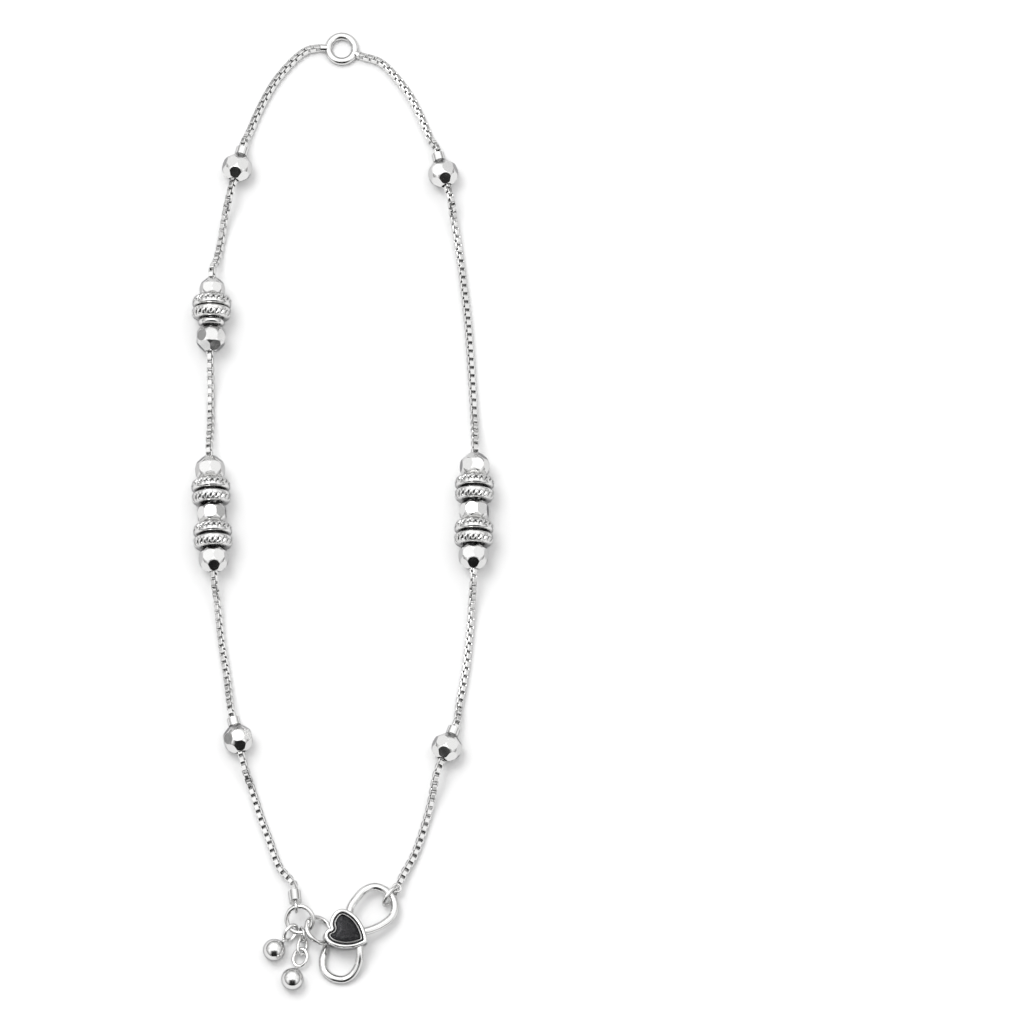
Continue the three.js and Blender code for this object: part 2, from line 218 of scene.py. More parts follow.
def grid(rows, wrap_rows=False, wrap_columns=True):
    """Quads over an array of rows of points."""
    rows = np.asarray(rows, float)
    count, width = rows.shape[:2]
    faces = []
    for i in range(count if wrap_rows else count - 1):
        for j in range(width if wrap_columns else width - 1):
            a, b = i * width, (i + 1) % count * width
            k = (j + 1) % width
            faces.append((a + j, a + k, b + k, b + j))
    return rows.reshape(-1, 3), faces


def capped(rows):
    """A tube of rows with a flat face at each end."""
    points, faces = grid(rows)
    width = len(rows[0])
    last = len(points) - width
    faces.append(tuple(reversed(range(width))))
    faces.append(tuple(range(last, last + width)))
    return points, faces


def joined(parts):
    points, faces, start = [], [], 0
    for part_points, part_faces in parts:
        points.append(part_points)
        faces += [tuple(i + start for i in face) for face in part_faces]
        start += len(part_points)
    return np.concatenate(points), faces


def circle(radius, sides):
    angles = np.arange(sides) * 2 * PI / sides
    return np.column_stack([radius * np.cos(angles), radius * np.sin(angles)])


def turned(profile, segments, closed=True):
    """Points (radius, along) turned round local Y."""
    angles = np.arange(segments) * 2 * PI / segments
    rows = [[(r * math.cos(a), y, r * math.sin(a)) for a in angles] for r, y in profile]
    return grid(rows, wrap_rows=closed)


def ring(outer, wire, segments=72, sides=20, stretch=0.0):
    """A round or oval wire ring lying in local XY."""
    middle = (outer - wire) / 2
    rows = []
    for a in np.arange(segments) * 2 * PI / segments:
        way = vec(math.cos(a), math.sin(a))
        centre = way * middle + vec(stretch * middle * math.cos(a), 0)
        tangent = unit(vec(-(1 + stretch) * math.sin(a), math.cos(a)))
        side = np.cross(tangent, (0, 0, 1))
        rows.append([centre + x * side + vec(0, 0, z) for x, z in circle(wire / 2, sides)])
    return grid(rows, wrap_rows=True)


def oval(length, width, wire, segments=72, sides=20):
    return ring(width, wire, segments, sides, stretch=(length - width) / (width - wire))


def spline(points, step, fineness=24):
    """A centripetal Catmull-Rom curve through the points, as close points of even spacing."""
    p = [np.asarray(q, float) for q in points]
    p = [2 * p[0] - p[1], *p, 2 * p[-1] - p[-2]]
    out = []
    for a, b, c, d in zip(p, p[1:], p[2:], p[3:]):
        ta, tb, tc = (np.linalg.norm(v - u) ** 0.5 for u, v in ((a, b), (b, c), (c, d)))
        start = ((b - a) / ta - (c - a) / (ta + tb) + (c - b) / tb) * tb
        end = ((c - b) / tb - (d - b) / (tb + tc) + (d - c) / tc) * tb
        for t in np.linspace(0, 1, fineness, endpoint=False):
            rest = (2 * b - 2 * c + start + end) * t + (3 * c - 3 * b - 2 * start - end)
            out.append(b + start * t + rest * t * t)
    out.append(p[-2])
    return even(np.array(out), step)


def even(path, step):
    """The same path, as points of even spacing."""
    reach = np.concatenate([[0], np.cumsum(np.linalg.norm(np.diff(path, axis=0), axis=1))])
    places = np.linspace(0, reach[-1], max(2, round(reach[-1] / step) + 1))
    return np.column_stack([np.interp(places, reach, path[:, k]) for k in range(3)])


def tube(path, radii, sides):
    """A round wire along a path, with a radius for each point and flat ends."""
    tangents = np.gradient(path, axis=0)
    side = np.cross(tangents[0], (0, 0, 1))
    rows = []
    for point, tangent, radius in zip(path, tangents, radii):
        t = unit(tangent)
        side = unit(side - t * side.dot(t))
        up = np.cross(side, t)
        rows.append([point + x * side + y * up for x, y in circle(radius, sides)])
    return capped(rows)


def wire(points, radius, end_radius, taper_start=0.0):
    """A wire through chosen points that rests on the table and may thin towards its end."""
    path = spline(points, WIRE_STEP)
    reach = np.linspace(0, 1, len(path))
    radii = np.interp(reach, (taper_start, 1), (radius, end_radius))
    path[:, 2] = np.maximum(path[:, 2], radii)
    return tube(path, radii, sides=24)


# Materials

SILVER_COLOUR = (0.765, 0.763, 0.757)
# Near black of the painted shade in grooves, hollows and the insides of links
PAINTED_SHADE_COLOUR = (0.03, 0.03, 0.032)
# Grey tint of the silver's grazing reflections: painted shade along each piece's outline
EDGE_SHADE_TINT = (0.25, 0.25, 0.26)
BLACK_LOW = (0.008, 0.008, 0.009)
BLACK_HIGH = (0.06, 0.06, 0.062)
TABLE_COLOUR = (0.87, 0.87, 0.87)


def new_material(name, colour, metallic, roughness):
    material = bpy.data.materials.new(name)
    material.use_nodes = True
    shader = material.node_tree.nodes["Principled BSDF"]
    shader.inputs["Base Color"].default_value = (*colour, 1)
    shader.inputs["Metallic"].default_value = metallic
    shader.inputs["Roughness"].default_value = roughness
    return material, material.node_tree, shader


def noise(tree, scale, detail=3.0, space="Object"):
    place = tree.nodes.new("ShaderNodeTexCoord")
    texture = tree.nodes.new("ShaderNodeTexNoise")
    texture.inputs["Scale"].default_value = scale
    texture.inputs["Detail"].default_value = detail
    tree.links.new(place.outputs[space], texture.inputs["Vector"])
    return texture.outputs["Fac"]


def spread(tree, source, from_range, to_range):
    """The source's values, with one range mapped to the other and held at its ends."""
    span = tree.nodes.new("ShaderNodeMapRange")
    names = ("From Min", "From Max", "To Min", "To Max")
    for name, value in zip(names, (*from_range, *to_range)):
        span.inputs[name].default_value = value
    tree.links.new(source, span.inputs["Value"])
    return span.outputs["Result"]


def multiplied(tree, a, b):
    product = tree.nodes.new("ShaderNodeMath")
    product.operation = "MULTIPLY"
    tree.links.new(a, product.inputs[0])
    tree.links.new(b, product.inputs[1])
    return product.outputs[0]


def colour_between(tree, shader, factor, low, high):
    mix = tree.nodes.new("ShaderNodeMix")
    mix.data_type = "RGBA"
    mix.inputs["A"].default_value = (*low, 1)
    mix.inputs["B"].default_value = (*high, 1)
    tree.links.new(factor, mix.inputs["Factor"])
    tree.links.new(mix.outputs["Result"], shader.inputs["Base Color"])


def uneven(tree, shader, height, strength, depth):
    bump = tree.nodes.new("ShaderNodeBump")
    bump.inputs["Strength"].default_value = strength
    bump.inputs["Distance"].default_value = depth * MM
    tree.links.new(height, bump.inputs["Height"])
    tree.links.new(bump.outputs["Normal"], shader.inputs["Normal"])


def polished_silver():
    """Bright silver, darkened by painted shade in the grooves and hollows that a mesh's per-point
    value marks.
    """
    material, tree, shader = new_material("silver", SILVER_COLOUR, metallic=1, roughness=0.14)
    # Painted shade: the mesh's per-point value blends the silver towards near black
    painted_shade = tree.nodes.new("ShaderNodeAttribute")
    painted_shade.attribute_name = "painted_shade"
    colour_between(tree, shader, painted_shade.outputs["Fac"], SILVER_COLOUR, PAINTED_SHADE_COLOUR)
    # Painted shade along outlines: the grey tint dims the grazing reflections
    shader.inputs["Specular Tint"].default_value = (*EDGE_SHADE_TINT, 1)
    smear = spread(tree, noise(tree, scale=900), (0.3, 0.7), (0.1, 0.2))
    tree.links.new(smear, shader.inputs["Roughness"])
    uneven(tree, shader, noise(tree, scale=1600), strength=0.06, depth=0.03)
    return material


def blackened_silver():
    """Dark silver for the heart's field, with a fine lighter speckle and fine bumps, as if
    sandblasted.
    """
    material, tree, shader = new_material("blackened_silver", BLACK_LOW, metallic=1, roughness=0.3)
    speckle = noise(tree, scale=9000, detail=1.0)
    sparkle = spread(tree, speckle, (0.45, 0.72), (0, 1))
    colour_between(tree, shader, sparkle, BLACK_LOW, BLACK_HIGH)
    uneven(tree, shader, speckle, strength=0.5, depth=0.05)
    return material


def white_table():
    material, _, shader = new_material("white_table", TABLE_COLOUR, metallic=0, roughness=0.6)
    shader.inputs["Specular IOR Level"].default_value = 0.1
    return material


SILVER = polished_silver()
DARK_FIELD = blackened_silver()


def piece(name, parts, nodes, material=SILVER, sharp=12, painted_shade=None):
    """A mesh in metres, riding on the anklet's one body, that stands for these nodes."""
    points, faces = joined(parts)
    mesh = bpy.data.meshes.new(name)
    mesh.from_pydata((points * MM).tolist(), [], faces)
    mesh.polygons.foreach_set("use_smooth", np.ones(len(mesh.polygons), bool))
    mesh.set_sharp_from_angle(angle=math.radians(sharp))
    mesh.materials.append(material)
    # The per-point painted shade for grooves and hollows, read by the silver
    if painted_shade is not None:
        mesh.attributes.new("painted_shade", "FLOAT", "POINT").data.foreach_set("value", painted_shade)
    made = bpy.data.objects.new(name, mesh)
    bpy.context.scene.collection.objects.link(made)
    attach(made, "root")
    if nodes:
        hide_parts(*nodes)


# Faceted beads: eight flats round the middle, and six between them towards each end


def outward(latitude, longitude):
    lat, lon = math.radians(latitude), math.radians(longitude)
    return Vector((math.cos(lat) * math.cos(lon), math.sin(lat), math.cos(lat) * math.sin(lon)))


def cut_flat(ball, normal, distance):
    """Cuts the ball by a plane at this distance from its middle and closes it with a flat."""
    everything = [*ball.verts, *ball.edges, *ball.faces]
    cut = bmesh.ops.bisect_plane(
        ball, geom=everything, plane_co=normal * distance, plane_no=normal, clear_outer=True
    )
    edges = [part for part in cut["geom_cut"] if isinstance(part, bmesh.types.BMEdge)]
    return bmesh.ops.edgeloop_fill(ball, edges=edges)["faces"]


def drill(ball, radius):
    """Turns the flat at each end into a chamfered hole, and joins the two holes by the bore."""
    height = math.sqrt(radius**2 - (BEAD_BORE / 2 + BORE_CHAMFER) ** 2)
    inner = []
    for side in (-1, 1):
        ends = cut_flat(ball, Vector((0, side, 0)), height)
        edges = list({edge for face in ends for edge in face.edges})
        bmesh.ops.delete(ball, geom=ends, context="FACES_ONLY")
        made = bmesh.ops.extrude_edge_only(ball, edges=edges)["geom"]
        for vert in (part for part in made if isinstance(part, bmesh.types.BMVert)):
            shrink = BEAD_BORE / 2 / math.hypot(vert.co.x, vert.co.z)
            vert.co = (vert.co.x * shrink, vert.co.y - side * BORE_CHAMFER, vert.co.z * shrink)
        inner += [part for part in made if isinstance(part, bmesh.types.BMEdge)]
    bmesh.ops.bridge_loops(ball, edges=inner)


def faceted_bead(diameter, on_flat=False):
    """on_flat puts one of the middle flats straight below, for a bead that lies on it."""
    radius = diameter / 2
    ball = bmesh.new()
    bmesh.ops.create_uvsphere(ball, u_segments=72, v_segments=44, radius=radius)
    bmesh.ops.rotate(ball, verts=ball.verts, matrix=Matrix.Rotation(PI / 2, 3, "X"))
    middle = (0, MIDDLE_FLATS, 0 if on_flat else 0.5)
    ends = [(latitude, END_FLATS, 0.5) for latitude in (END_LATITUDE, -END_LATITUDE)]
    for latitude, columns, first in (middle, *ends):
        for column in range(columns):
            normal = outward(latitude, (column + first) * 360 / columns)
            cut_flat(ball, normal, radius * (1 - FACET_DEPTH))
    drill(ball, radius)
    ball.verts.index_update()
    points = np.array([vert.co for vert in ball.verts])
    faces = [tuple(vert.index for vert in face.verts) for face in ball.faces]
    ball.free()
    return points, faces


# Rope rings: grooves on the side of the bead, a plain band on the side of the pair's gap


def fading(past, sharpness):
    """1 well before a limit and 0 well past it."""
    return 1 / (1 + np.exp(past * sharpness))


def rope_ring(band_side, start=0.0):
    """A ring with its plain band towards local +Y or -Y (band_side 1 or -1), and its painted shade
    in the grooves, the crease and on the band's inside.
    """
    middle, radius = (ROPE_OUTER - ROPE_WIRE) / 2, ROPE_WIRE / 2
    around, sides = POINTS_PER_TWIST * ROPE_TWISTS, 40
    a = (np.arange(around) * 2 * PI / around + start)[:, None]
    twist = (np.arange(sides) * 2 * PI / sides)[None]
    across = np.sin(twist) * band_side
    groove = 1 - np.abs(np.sin(ROPE_TWISTS * a / 2 + TWIST_LEAN * twist)) ** GROOVE_POWER
    roped = fading(across - ROPED_TO, sharpness=18) * fading(ROPED_FROM - across, sharpness=14)
    crease = np.exp(-(((across - CREASE_AT) / CREASE_WIDTH) ** 2))
    roundness = np.where(across > CREASE_AT, BAND_ROUNDNESS, 1.0)
    swell = 1 - (TWIST_DEPTH * groove * roped + CREASE_DEPTH * crease) / radius
    out = radius * swell * np.sign(np.cos(twist)) * np.abs(np.cos(twist)) ** roundness
    height = radius * swell * np.sign(across) * np.abs(across) ** roundness * band_side
    reach = middle + out
    points = np.stack([reach * np.cos(a), height + 0 * a, reach * np.sin(a)], axis=-1)
    # Painted shade: darkest in the twist's grooves and the crease, and on the band's inside
    inside = np.clip(BAND_SHADE_FROM - np.cos(twist), 0, 1) * (across > CREASE_AT)
    shade = GROOVE_SHADE * groove * roped - GROOVE_SHADE_FROM + CREASE_SHADE * crease + inside
    return grid(points, wrap_rows=True), np.clip(shade, 0, 1).ravel()


# What is strung on the chains: the same places as in the part's source

SINGLES = {
    "upper_left": {"at": vec(-13.95, 46.9, BEAD / 2), "heading": -14, "rise": 9},
    "upper_right": {"at": vec(13.3, 46.1, BEAD / 2), "heading": 14.5, "rise": 9},
    "lower_left": {"at": vec(-13.7, -31.95, BEAD_ON_FACET), "heading": 13, "rise": 0},
    "lower_right": {"at": vec(13.8, -33.15, BEAD / 2), "heading": -19.5, "rise": 8},
}
STACKS = {
    "small": {"at": vec(-17.3, 26.5, STACK_HEIGHT), "heading": -1.4, "rise": 0},
    "left": {"at": vec(-17.2, -1.2, STACK_HEIGHT), "heading": 2.3, "rise": 0},
    "right": {"at": vec(17.4, -0.8, STACK_HEIGHT), "heading": -0.7, "rise": 0},
}

# How far single pieces of a stack are turned on the chain, in degrees
PIECE_TURNS = {"small_end_bead": -27, "left_bead_2": -16, "right_bead_1": 8, "right_bead_2": -12}

BORE_IN_FRAME = 2 * (CHAIN_RADIUS + BORE_PLAY)

# How far the chain runs straight beyond what is strung on it
LEAD = 1


def axis_of(item):
    return along(item["heading"], item["rise"])


def to_ring(diameter, outer, wire_size):
    """How far apart a bead's and a ring's middles are where the bead sits in the ring."""
    return math.sqrt(((diameter + wire_size) / 2 + GAP) ** 2 - ((outer - wire_size) / 2) ** 2)


def big_stack(name):
    """Three beads with a pair of rope rings between each two, as rows of name, place and part."""
    rows, place, to_rope = [], 0.0, to_ring(BEAD, ROPE_OUTER, ROPE_WIRE)
    for bead in (1, 2, 3):
        rows.append((f"{name}_bead_{bead}", place, (faceted_bead(BEAD), None)))
        if bead < 3:
            place += to_rope
            rows.append((f"{name}_rope_{2 * bead - 1}", place, rope_ring(1, 0.1 * bead)))
            place += ROPE_WIRE + PAIR_GAP
            rows.append((f"{name}_rope_{2 * bead}", place, rope_ring(-1, 0.07 * bead)))
            place += to_rope
    return rows


def small_stack():
    rope_1 = to_ring(SMALL_BEAD, ROPE_OUTER, ROPE_WIRE)
    rope_2 = rope_1 + ROPE_WIRE + GAP
    washer = rope_2 + (ROPE_WIRE + WASHER_WIRE) / 2 + GAP
    end_bead = washer + to_ring(BEAD, WASHER_OUTER, WASHER_WIRE)
    upright = frame_at(vec(0, 0), (0, 0, 1), up=(0, 1, 0))
    return [
        ("small_bead", 0.0, (faceted_bead(SMALL_BEAD), None)),
        ("small_rope_1", rope_1, rope_ring(1)),
        ("small_rope_2", rope_2, rope_ring(-1, 0.1)),
        ("small_washer", washer, (moved(ring(WASHER_OUTER, WASHER_WIRE), upright), None)),
        ("small_end_bead", end_bead, (faceted_bead(BEAD), None)),
    ]


def add_stack(stack, rows):
    axis, span = axis_of(stack), rows[-1][1]
    stack["half"] = span / 2 + BEAD / 2
    for name, place, (part, painted_shade) in rows:
        rolled = moved(part, turned_about("Y", PIECE_TURNS.get(name, 0)))
        on_chain = frame_at(stack["at"] + axis * (place - span / 2), axis)
        piece(f"{name}_fine", [moved(rolled, on_chain)], [name], painted_shade=painted_shade)


def add_single(side, bead):
    start = math.sqrt((BEAD / 2) ** 2 - (BORE_IN_FRAME / 2) ** 2) + GAP
    bead["half"] = start + COLLAR_LENGTH
    place = frame_at(bead["at"], axis_of(bead))
    cut_bead = faceted_bead(BEAD, on_flat=bead["rise"] == 0)
    piece(f"bead_{side}_fine", [moved(cut_bead, place)], [f"bead_{side}"])
    inner, edge = CHAIN_RADIUS + SLEEVE_PLAY, COLLAR_EDGE
    outer = inner + COLLAR_WALL
    near, far = -start, -start - COLLAR_LENGTH
    profile = [
        (inner, near), (outer - edge, near), (outer, near - edge), (outer, far + edge),
        (outer - edge, far), (inner, far),
    ]
    piece(f"collar_{side}_fine", [moved(turned(profile, 40), place)], [f"collar_{side}"])


def through(item):
    """Points of a chain's route through a bead or stack."""
    places = (-item["half"] - LEAD, -item["half"] / 2, item["half"] / 2, item["half"] + LEAD)
    return [item["at"] + axis_of(item) * place for place in places]


# Top ring

TOP_AT = vec(-0.15, 63.9, TOP_WIRE / 2)
NECK_ENDS = {"left": (-92, TOP_OUTER / 2 + LEFT_NECK), "right": (68, TOP_OUTER / 2 + RIGHT_NECK)}


def add_top_ring():
    parts = [moved(ring(TOP_OUTER, TOP_WIRE, segments=96, sides=28), frame_at(TOP_AT, (0, 1, 0)))]
    start, radius = (TOP_OUTER - TOP_WIRE) / 2, NECK / 2
    root, waist, lip, cup = (share * radius for share in (0.9, 0.88, 0.72, 0.7))
    level = TOP_AT + vec(0, 0, NECK / 2 - TOP_WIRE / 2)
    for heading, end in NECK_ENDS.values():
        profile = [
            (0.0, start), (root, start), (waist, end - NECK_FLARE), (radius, end - NECK_EDGE),
            (radius - NECK_EDGE, end), (lip, end), (cup, end - NECK_CUP), (0.0, end - NECK_CUP),
        ]
        parts.append(moved(turned(profile, 32, closed=False), frame_at(level, along(heading))))
    piece("top_ring_fine", parts, ["top_ring"])


# Clasp end

JUMP = {"at": vec(-5.53, -56.8, 1.98), "tilt": 24.5, "facing": -113}
CATCH = {"at": vec(-3.0, -58.07, 1.38), "tilt": 34, "facing": 25}
DROP_1_EYE = {"at": vec(-6.75, -58.38, 1.24), "tilt": 57, "facing": -42, "turn": 56}
DROP_1_BALL = vec(-8.9, -60.8, BALL / 2)
LINK_A = {"at": vec(-5.18, -58.67, 1.26), "tilt": 79, "facing": 190}
LINK_B = {"at": vec(-5.2, -60.1, 0.95), "tilt": 43, "facing": -10, "turn": 76}
DROP_2_EYE = {"at": vec(-5.48, -61.68, 0.83), "tilt": -16, "facing": 16, "turn": 71}
DROP_2_BALL = vec(-6.5, -64.8, BALL / 2)
END_LINK = {"at": vec(6.4, -53.35, 1.16), "tilt": 72.5, "facing": -38, "turn": 54}


def point_on(place, x, y=0.0):
    return (leaning(**place) @ np.array([x, y, 0, 1]))[:3]


def round_ball(diameter, rings=36, segments=56):
    rows = []
    for a in np.linspace(-PI / 2, PI / 2, rings + 1)[1:-1]:
        flat, height = math.cos(a) * diameter / 2, math.sin(a) * diameter / 2
        rows.append([(x * flat, height, y * flat) for x, y in circle(1, segments)])
    return capped(rows)


def add_drop(name, eye, ball_at):
    """A ball with an oval wire eye, soldered to it by a short neck that flares at the ball."""
    ends = [point_on(eye, side * (DROP_EYE_LENGTH - DROP_WIRE) / 2) for side in (-1, 1)]
    near = min(ends, key=lambda end: np.linalg.norm(end - ball_at))
    neck = near - ball_at
    length, radius = np.linalg.norm(neck), DROP_WIRE / 2
    places = np.linspace(BALL / 2 - DROP_SINK, length, 9)
    flare = radius * (1 + DROP_FLARE * np.exp(-(places - places[0]) / DROP_FLARE_LENGTH))
    profile = [(0.0, places[0]), *zip(flare, places), (0.0, places[-1])]
    place = frame_at(ball_at, neck)
    parts = [moved(round_ball(BALL), place), moved(turned(profile, 24, closed=False), place)]
    parts.append(moved(oval(DROP_EYE_LENGTH, DROP_EYE_WIDTH, DROP_WIRE), leaning(**eye)))
    piece(f"{name}_fine", parts, [name])


CAP_EYE_MIDDLE = (CAP_EYE_OUTER - CAP_EYE_WIRE) / 2
CAP_EYE_ANGLE = math.radians(105)
JUMP_MIDDLE = (JUMP_OUTER - RING_WIRE) / 2
CAP_EYE_AT = point_on(
    JUMP, JUMP_MIDDLE * math.cos(CAP_EYE_ANGLE), JUMP_MIDDLE * math.sin(CAP_EYE_ANGLE)
)
CAP_AXIS = unit(vec(-0.1, 1, -0.3))


def add_end_cap():
    bore, edge = CHAIN_RADIUS + SLEEVE_PLAY, CAP_EDGE
    outer, bottom, top = bore + CAP_WALL, CAP_EYE_MIDDLE, CAP_EYE_MIDDLE + CAP_LENGTH
    profile = [
        (0.0, bottom), (outer - 3 * edge, bottom), (outer, bottom + 3 * edge), (outer, top - edge),
        (outer - edge, top), (bore, top), (bore, top - CAP_DEPTH), (0.0, top - CAP_DEPTH),
    ]
    cylinder = turned(profile, 40, closed=False)
    eye = moved(ring(CAP_EYE_OUTER, CAP_EYE_WIRE, segments=48, sides=16), turned_about("Y", 90))
    place = frame_at(CAP_EYE_AT, CAP_AXIS)
    piece("end_cap_fine", [moved(cylinder, place), moved(eye, place)], ["end_cap"])


def add_ring(name, part, place):
    piece(f"{name}_fine", [moved(part, leaning(**place))], [name])


# Heart hook

HEART_AT = vec(-1.5, -58.25)
HEART_TURN = -21
IN_HEART = HEART_BACK + HOOK_WIRE / 2 + 0.02
WIRE_ON_TABLE = HOOK_WIRE / 2
TIP_ON_TABLE = HOOK_TIP_WIRE / 2
UPPER_LOOP = [
    vec(0.7, -57.2, IN_HEART), vec(0.9, -56.3, IN_HEART), vec(1.2, -55.0, 2.0),
    vec(1.9, -53.9, 1.85), vec(2.9, -52.7, 1.6), vec(4.3, -52.1, 1.35), vec(5.6, -52.5, 1.22),
    vec(6.6, -53.4, 1.17), vec(7.0, -54.7, 1.17), vec(6.6, -56.2, 1.3), vec(5.3, -57.4, 1.6),
    vec(4.0, -58.1, 1.9), vec(2.6, -58.6, IN_HEART), vec(1.7, -58.8, IN_HEART),
]
LOWER_LOOP = [
    vec(1.9, -59.1, IN_HEART), vec(2.2, -59.9, IN_HEART), vec(2.4, -61.4, 1.8),
    vec(2.2, -62.7, 1.25), vec(1.4, -64.0, 0.75), vec(0.2, -64.6, WIRE_ON_TABLE),
    vec(-1.3, -64.3, WIRE_ON_TABLE), vec(-2.3, -63.3, WIRE_ON_TABLE),
    vec(-2.5, -62.1, WIRE_ON_TABLE), vec(-2.35, -61.2, WIRE_ON_TABLE),
    vec(-2.05, -60.1, TIP_ON_TABLE), vec(-2.0, -59.3, TIP_ON_TABLE), vec(-2.15, -58.75, 0.6),
    vec(-1.85, -58.7, 1.3), vec(-1.1, -58.9, IN_HEART),
]


def bezier(a, b, c, d, count):
    t = (np.arange(count) / count)[:, None]
    a, b, c, d = (np.array(p, float) for p in (a, b, c, d))
    return a * (1 - t) ** 3 + 3 * b * t * (1 - t) ** 2 + 3 * c * t * t * (1 - t) + d * t**3


def heart_edge(count=26):
    """The heart's outer edge, with its notch at the origin and its tip along X."""
    long, upper, lower = HEART_LENGTH, HEART_UPPER, HEART_LOWER
    notch, tip, top, bottom = (0, 0), (long, 0), (0.2 * long, upper), (0.26 * long, -lower)
    curves = [
        (notch, (-0.14 * long, 0.2 * upper), (-0.12 * long, upper), top),
        (top, (0.55 * long, upper), (0.88 * long, 0.5 * upper), tip),
        (tip, (0.9 * long, -0.42 * lower), (0.62 * long, -lower), bottom),
        (bottom, (-0.1 * long, -lower), (-0.17 * long, -0.3 * lower), notch),
    ]
    return np.concatenate([bezier(*curve, count) for curve in curves])


HEART_EDGE = heart_edge()
HEART_FINE_EDGE = heart_edge(160)
HEART_MIDDLE = np.array([0.36 * HEART_LENGTH, 0.13 * HEART_UPPER])


def heart_outline(inset, height):
    """The edge drawn in evenly: on each ray to the middle, the point that lies inset from it."""
    near, far = np.zeros(len(HEART_EDGE)), np.full(len(HEART_EDGE), 0.9)
    for _ in range(18):
        share = (near + far) / 2
        points = HEART_EDGE + (HEART_MIDDLE - HEART_EDGE) * share[:, None]
        apart = np.linalg.norm(points[:, None] - HEART_FINE_EDGE[None], axis=2).min(axis=1)
        near, far = np.where(apart < inset, share, near), np.where(apart < inset, far, share)
    points = HEART_EDGE + (HEART_MIDDLE - HEART_EDGE) * near[:, None]
    return np.column_stack([points, np.full(len(points), height)])


def heart_shell(profile):
    """Outlines at these insets and heights, drawn together to a point at both ends."""
    rows = [heart_outline(inset, height) for inset, height in profile]
    middle = vec(*HEART_MIDDLE)
    ends = [middle + (row - middle) * (0.02, 0.02, 1) for row in (rows[0], rows[-1])]
    return capped([ends[0], *rows, ends[1]][::-1])


def heart_place():
    matrix = turned_about("Z", HEART_TURN)
    matrix[:3, 3] = HEART_AT
    return matrix


def rounded(inset, height, radius, start, end, steps=5):
    """Points of a rounded edge, in inset and height, about a centre, from one angle to another."""
    angles = np.radians(np.linspace(start, end, steps))
    return [(inset - radius * math.cos(a), height + radius * math.sin(a)) for a in angles]


def add_clasp():
    """The heart's body, with a rounded back, rim and pocket edge, and the hook's two wires."""
    back, rim, pocket = 0.2, 0.26, 0.12
    body = heart_shell([
        (0.5, HEART_BACK), *rounded(back, HEART_BACK + back, back, -90, 0),
        *rounded(rim, HEART_TOP - rim, rim, 0, 90, 7),
        *rounded(HEART_RIM - pocket, HEART_TOP - pocket, pocket, 90, 180),
        (HEART_RIM, HEART_FLOOR), (HEART_RIM + 0.3, HEART_FLOOR),
    ])
    parts = [
        moved(body, heart_place()),
        wire(UPPER_LOOP, HOOK_WIRE / 2, HOOK_WIRE / 2),
        wire(LOWER_LOOP, HOOK_WIRE / 2, HOOK_TIP_WIRE / 2, TAPER_START),
    ]
    piece("clasp_fine", parts, ["clasp"])


def add_heart_face():
    """The dark silver field with its foot in the rim's pocket, and the bright silver edge round it.
    """
    start = HEART_RIM + HEART_GROOVE
    inner, foot, top = start + HEART_EDGE_WIDTH, HEART_RIM + 0.01, HEART_TOP
    face = heart_shell([
        (start + 0.1, HEART_FLOOR + 0.02), (foot, HEART_FLOOR + 0.02), (foot, HEART_FLOOR + 0.3),
        (start, HEART_FLOOR + 0.32), (start + 0.01, top - 0.24), (inner, top - 0.2),
        (inner + 0.18, top - 0.11), (inner + 0.45, top - 0.04), (inner + 0.85, top),
    ])
    field = [moved(face, heart_place())]
    piece("heart_face_fine", field, ["heart_face"], DARK_FIELD)
    edge = [
        (start, top - 0.22), (start, top - 0.14), (start + 0.04, top - 0.05),
        (inner - 0.03, top - 0.01), (inner, top - 0.02), (inner, top - 0.22),
    ]
    band = grid([heart_outline(*point) for point in reversed(edge)], wrap_rows=True)
    piece("heart_edge_fine", [moved(band, heart_place())], [], sharp=40)


# Chains


def left_route():
    heading, end = NECK_ENDS["left"]
    start = TOP_AT + along(heading) * (end + CHAIN_START)
    start[2] = ON_TABLE
    cap_top = CAP_EYE_MIDDLE + CAP_LENGTH
    return [
        start, vec(-4.7, 63.7, ON_TABLE), vec(-6.2, 62.6, ON_TABLE),
        vec(-8.9, 59.4, ON_TABLE), vec(-11.0, 55.5, ON_TABLE), vec(-12.3, 52.4, ON_TABLE),
        *through(SINGLES["upper_left"]),
        vec(-15.5, 40.5, 1.5), vec(-16.1, 37.0, ON_TABLE), vec(-16.7, 34.0, 1.5),
        *through(STACKS["small"]),
        vec(-17.4, 17.3, 1.4), vec(-17.4, 14.3, ON_TABLE), vec(-17.4, 11.3, 1.3),
        *through(STACKS["left"]),
        vec(-16.5, -12.6, 1.4), vec(-15.9, -18.0, ON_TABLE), vec(-15.1, -23.4, ON_TABLE),
        *through(SINGLES["lower_left"]),
        vec(-11.9, -38.4, ON_TABLE), vec(-10.8, -42.0, ON_TABLE), vec(-9.6, -45.4, ON_TABLE),
        vec(-8.2, -49.3, 0.8),
        CAP_EYE_AT + CAP_AXIS * (cap_top + 1.2),
        CAP_EYE_AT + CAP_AXIS * (cap_top + GAP - CAP_DEPTH),
    ]


END_LINK_END = point_on(END_LINK, (END_LINK_LENGTH - END_LINK_WIRE) / 2)
CHAIN_EYE_AXIS = unit(vec(0.42, 0.9, -0.1))
CHAIN_EYE_MIDDLE = (CHAIN_EYE_OUTER - CHAIN_EYE_WIRE) / 2


